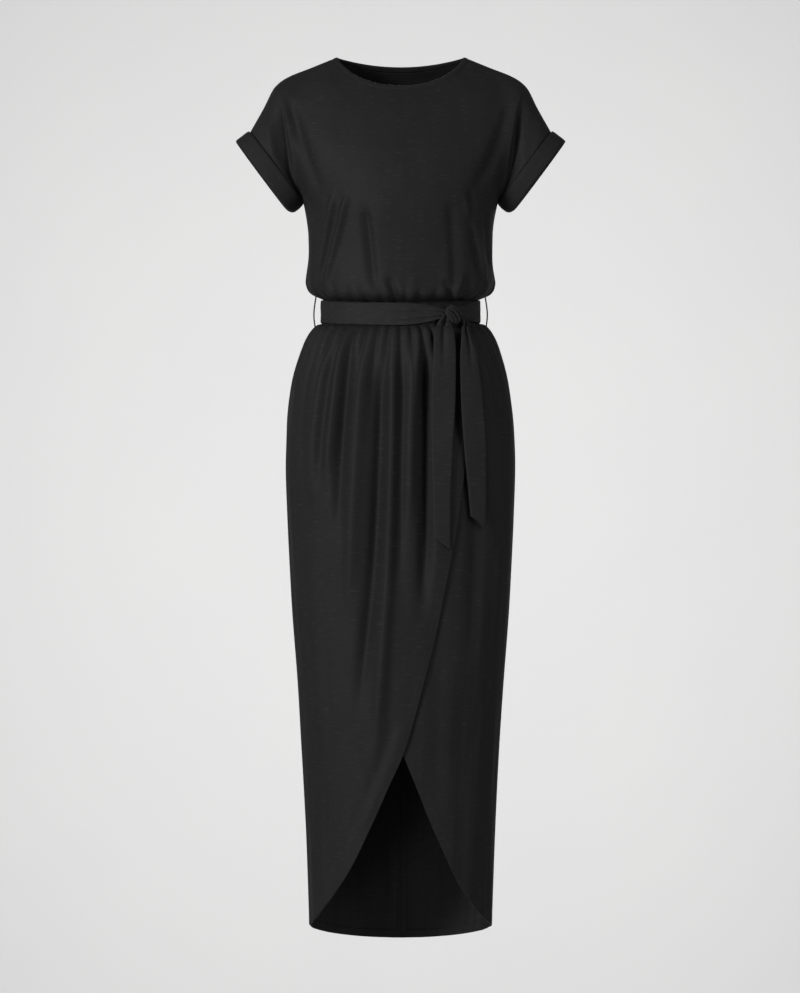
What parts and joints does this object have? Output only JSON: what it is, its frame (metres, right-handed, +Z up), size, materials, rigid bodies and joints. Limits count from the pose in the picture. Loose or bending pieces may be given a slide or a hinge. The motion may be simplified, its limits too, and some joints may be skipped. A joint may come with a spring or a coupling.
{
  "type": "wrap dress",
  "caption": "Long short-sleeved jersey dress with a gathered waist, tie belt and wrapped tulip skirt, shown filled out and empty.",
  "frame": {"origin": "midway between the two points where the shoulder seams meet the neck band, where a wearer's shoulders hold the dress", "axes": "+Z up; the front of the dress faces -Y; the viewer's right, seen from the front, is +X"},
  "size_m": [0.5086, 0.2454, 1.3739],
  "materials": {
    "jersey": "soft matte slub jersey",
    "trim": "folded jersey band",
    "belt": "folded and pressed jersey",
    "thread": "twisted sewing thread"
  },
  "bodies": {
    "root": {"bodice_front": "jersey", "bodice_back": "jersey", "neck_band": "trim", "cuff_left": "trim", "cuff_right": "trim", "skirt_front_over": "jersey", "skirt_front_under": "jersey", "skirt_back_left": "jersey", "skirt_back_right": "jersey", "belt": "belt", "belt_knot": "belt", "belt_tail_front": "belt", "belt_tail_side": "belt", "belt_loop_left": "thread", "belt_loop_right": "thread"}
  },
  "joints": []
}
